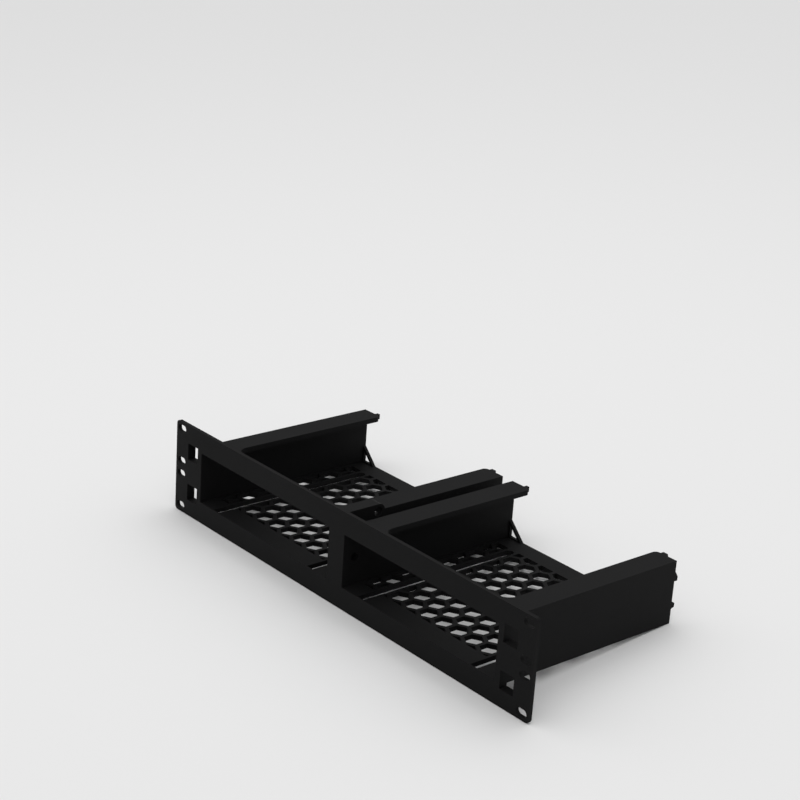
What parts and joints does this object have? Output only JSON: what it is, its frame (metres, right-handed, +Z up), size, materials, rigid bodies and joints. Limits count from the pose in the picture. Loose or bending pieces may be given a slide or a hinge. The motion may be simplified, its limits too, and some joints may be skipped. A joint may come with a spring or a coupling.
{
  "type": "rack chassis",
  "caption": "Rack-mount chassis with two open bays side by side, honeycomb floors, cut-away roofs and port windows in slotted ears.",
  "frame": {"origin": "centre of the rack-slot pattern on the rear face of the panel, the face that lies on the rack rails", "axes": "+X along the panel to the right seen from the front, +Y rearwards into the rack, +Z up"},
  "size_m": [0.4826, 0.199, 0.0888],
  "materials": {
    "black": "fine matte texture"
  },
  "bodies": {
    "root": {"chassis": "black"}
  },
  "joints": []
}
